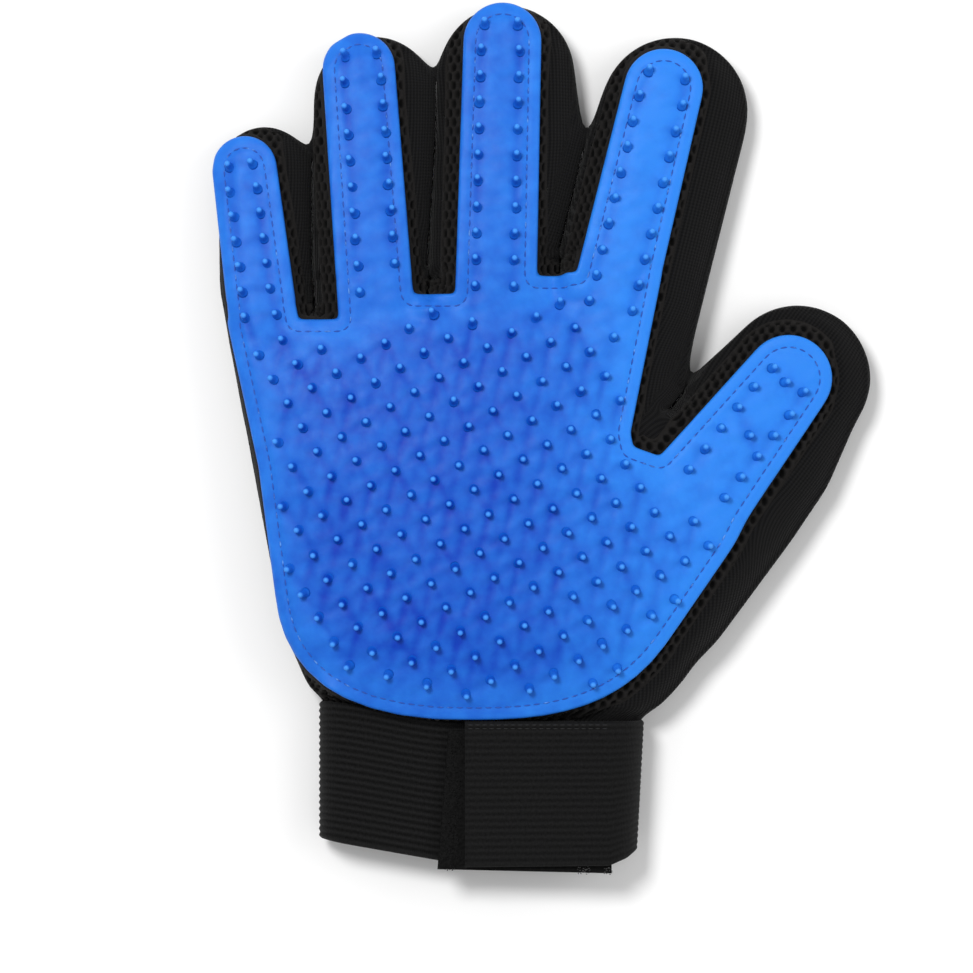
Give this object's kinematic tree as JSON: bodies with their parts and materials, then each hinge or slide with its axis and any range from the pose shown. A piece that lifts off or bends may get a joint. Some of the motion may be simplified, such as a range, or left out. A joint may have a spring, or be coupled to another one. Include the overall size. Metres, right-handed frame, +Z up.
{
  "type": "grooming glove",
  "caption": "Right-hand pet grooming glove: a silicone brush pad with soft nubs on a mesh and knit glove, with an elastic wrist band that closes with a hook tape strap.",
  "frame": {"origin": "under the middle of the glove's bounding box, on the surface that the glove lies on", "axes": "+X to the thumb side, +Y from the wrist to the fingertips, +Z up through the palm, the way the nubs point"},
  "size_m": [0.178, 0.2351, 0.0275],
  "materials": {
    "silicone": "soft satin silicone, moulded with small rounded nubs",
    "air_mesh": "thick black spacer mesh with open oval holes",
    "knit": "fine black knit with lengthwise ribs",
    "elastic": "black ribbed elastic webbing",
    "hook": "black nylon hook tape",
    "loop": "black napped loop tape"
  },
  "bodies": {
    "palm": {"palm_mesh_panel": "air_mesh", "palm_knit_back": "knit", "palm_brush_pad": "silicone", "wrist_band": "elastic", "loop_patch": "loop"},
    "pinky": {"pinky_mesh_panel": "air_mesh", "pinky_knit_back": "knit", "pinky_brush_pad": "silicone"},
    "ring": {"ring_mesh_panel": "air_mesh", "ring_knit_back": "knit", "ring_brush_pad": "silicone"},
    "middle": {"middle_mesh_panel": "air_mesh", "middle_knit_back": "knit", "middle_brush_pad": "silicone"},
    "index": {"index_mesh_panel": "air_mesh", "index_knit_back": "knit", "index_brush_pad": "silicone"},
    "thumb": {"thumb_mesh_panel": "air_mesh", "thumb_knit_back": "knit", "thumb_brush_pad": "silicone"},
    "strap": {"strap_end": "elastic", "hook_tape": "hook"}
  },
  "joints": [
    {"name": "pinky_bend", "type": "hinge", "parent": "palm", "child": "pinky", "pos_m": [-0.0735, 0.0357, 0.0192], "axis": [1, 0, 0], "range_deg": [0, 75], "stiffness_Nm_per_rad": 0.02},
    {"name": "ring_bend", "type": "hinge", "parent": "palm", "child": "ring", "pos_m": [-0.046, 0.0422, 0.0202], "axis": [1, 0, 0], "range_deg": [0, 75], "stiffness_Nm_per_rad": 0.02},
    {"name": "middle_bend", "type": "hinge", "parent": "palm", "child": "middle", "pos_m": [-0.012, 0.0438, 0.0207], "axis": [1, 0, 0], "range_deg": [0, 75], "stiffness_Nm_per_rad": 0.02},
    {"name": "index_bend", "type": "hinge", "parent": "palm", "child": "index", "pos_m": [0.02508, 0.04421, 0.0207], "axis": [0.9703, -0.2419, 0], "range_deg": [0, 75], "stiffness_Nm_per_rad": 0.02},
    {"name": "thumb_bend", "type": "hinge", "parent": "palm", "child": "thumb", "pos_m": [0.05409, -0.00719, 0.0212], "axis": [0.7826, -0.6225, 0], "range_deg": [0, 60], "stiffness_Nm_per_rad": 0.02},
    {"name": "strap_opening", "type": "hinge", "parent": "palm", "child": "strap", "pos_m": [0.028, -0.096, 0.015], "axis": [0, 1, 0], "range_deg": [0, 170]}
  ]
}
